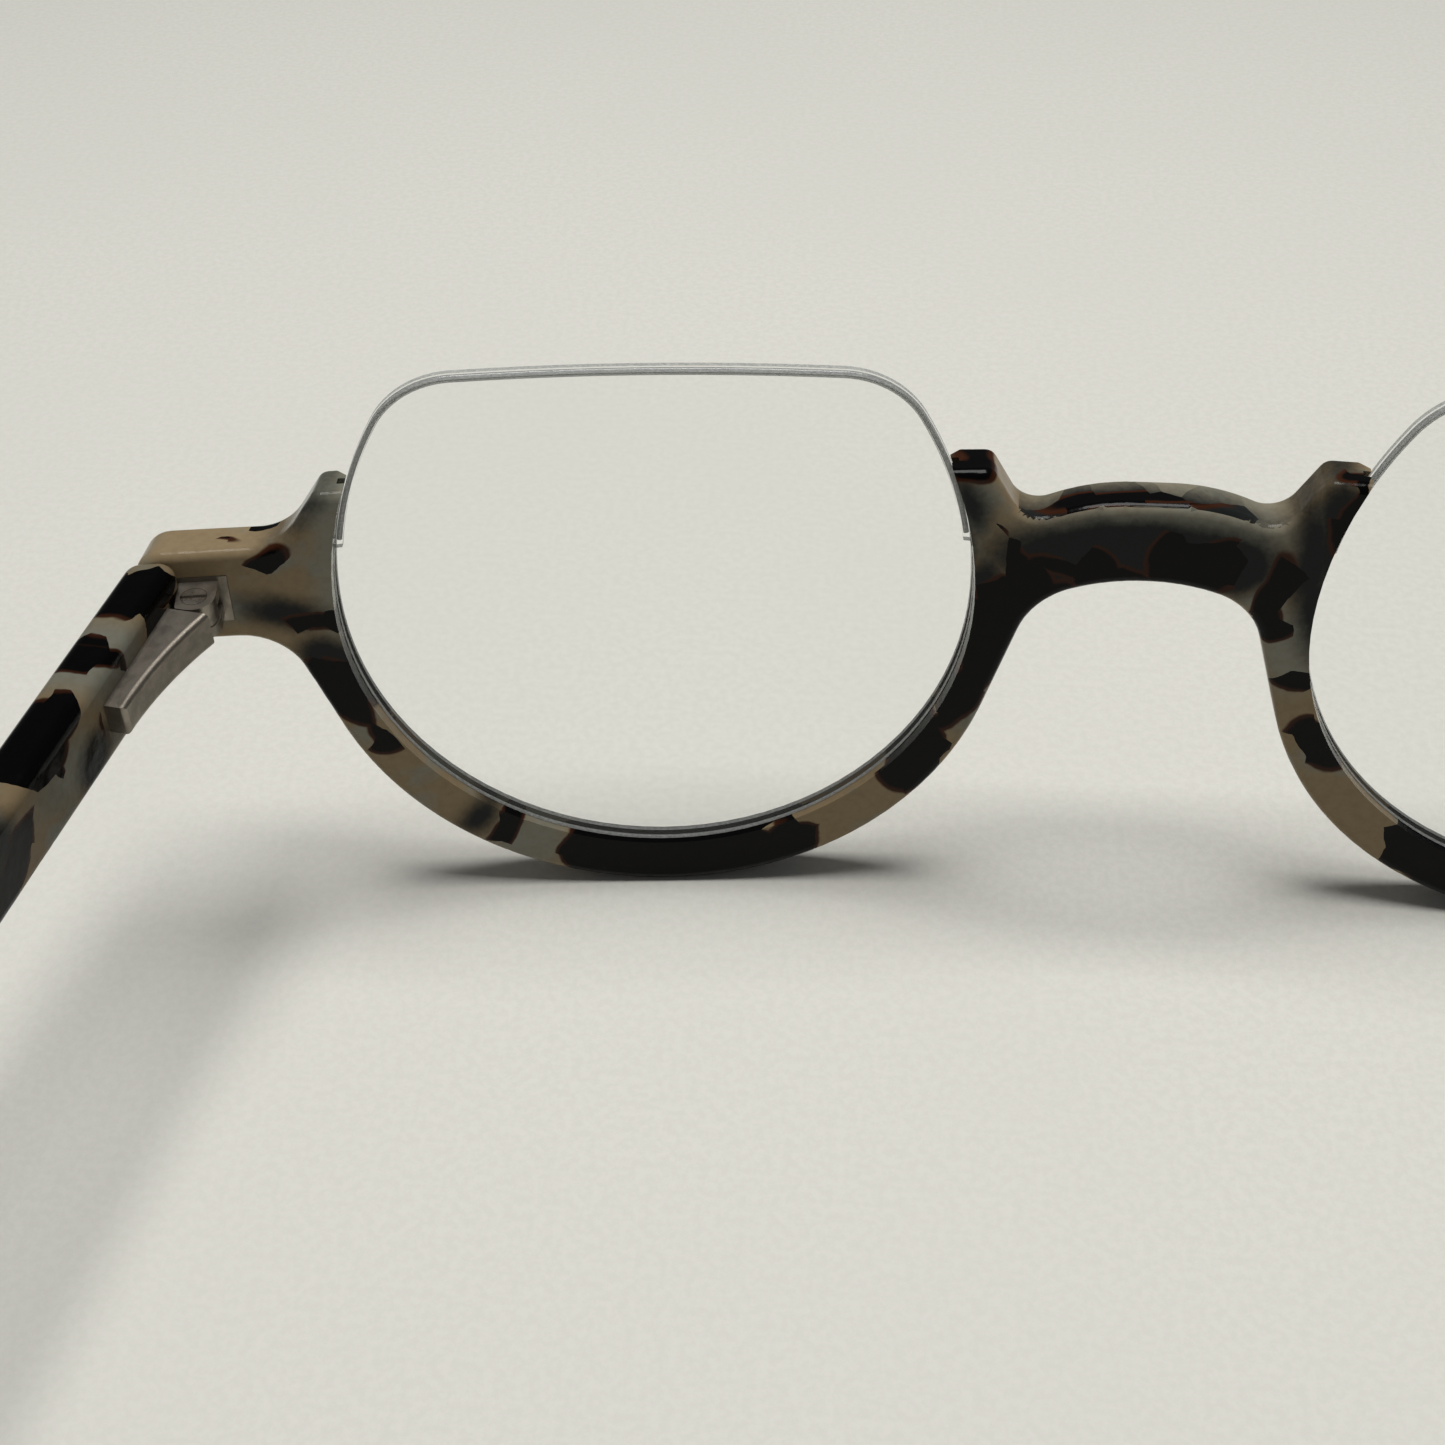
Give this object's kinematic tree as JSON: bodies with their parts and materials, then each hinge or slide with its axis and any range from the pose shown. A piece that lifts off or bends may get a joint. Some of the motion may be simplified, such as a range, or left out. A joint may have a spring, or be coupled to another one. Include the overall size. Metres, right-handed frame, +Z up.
{
  "type": "half rim eyeglasses",
  "caption": "Half rim eyeglasses: acetate front and temples, clear lenses held over the top by nylon cords, and temples that fold and flex outwards on spring hinges.",
  "frame": {"origin": "centre of the bounding box in plan, on the table that the open glasses stand on", "axes": "+X towards the wearer's left, +Y from the front towards the wearer, along the temples, +Z up"},
  "size_m": [0.1726, 0.1458, 0.0445],
  "materials": {
    "acetate_front": "polished tortoise acetate: ivory and grey ground with brown and black blotches",
    "lens_glass": "clear polished demo lens with a ground edge",
    "nylon": "clear nylon line",
    "hinge_metal": "satin nickel silver",
    "screw_metal": "satin nickel, slotted",
    "slider_metal": "satin nickel silver",
    "nut_steel": "plain steel",
    "spring_steel": "spring wire",
    "bush_steel": "plain steel",
    "housing_metal": "satin nickel silver",
    "acetate_temple": "polished tortoise acetate: grey brown ground with brown and black blotches",
    "core_steel": "nickel silver wire inside the temple"
  },
  "bodies": {
    "front": {"frame_front": "acetate_front", "lens_left": "lens_glass", "lens_right": "lens_glass", "nylon_cord_left": "nylon", "nylon_cord_right": "nylon", "hinge_front_left": "hinge_metal", "hinge_front_right": "hinge_metal", "hinge_screw_left": "screw_metal", "hinge_screw_right": "screw_metal"},
    "slider_left": {"spring_slider_left": "slider_metal", "slider_nut_left": "nut_steel"},
    "arm_left": {"temple_left": "acetate_temple", "core_wire_left": "core_steel", "spring_housing_left": "housing_metal", "stop_bush_left": "bush_steel", "hinge_spring_left": "spring_steel"},
    "slider_right": {"spring_slider_right": "slider_metal", "slider_nut_right": "nut_steel"},
    "arm_right": {"temple_right": "acetate_temple", "core_wire_right": "core_steel", "spring_housing_right": "housing_metal", "stop_bush_right": "bush_steel", "hinge_spring_right": "spring_steel"}
  },
  "joints": [
    {"name": "left_fold", "type": "hinge", "parent": "front", "child": "slider_left", "pos_m": [0.06583, -0.06193, 0.02874], "axis": [0, 0.0211, 0.9998], "range_deg": [0, 98]},
    {"name": "left_flex", "type": "slide", "parent": "slider_left", "child": "arm_left", "axis": [0.2588, 0.9657, -0.0204], "range_m": [0, 0.0012], "stiffness_N_per_m": 3000, "springref_m": -0.001, "deforming": ["hinge_spring_left"]},
    {"name": "right_fold", "type": "hinge", "parent": "front", "child": "slider_right", "pos_m": [-0.06583, -0.06193, 0.02874], "axis": [0, -0.0211, -0.9998], "range_deg": [0, 93]},
    {"name": "right_flex", "type": "slide", "parent": "slider_right", "child": "arm_right", "axis": [-0.2588, 0.9657, -0.0204], "range_m": [0, 0.0012], "stiffness_N_per_m": 3000, "springref_m": -0.001, "deforming": ["hinge_spring_right"]}
  ]
}
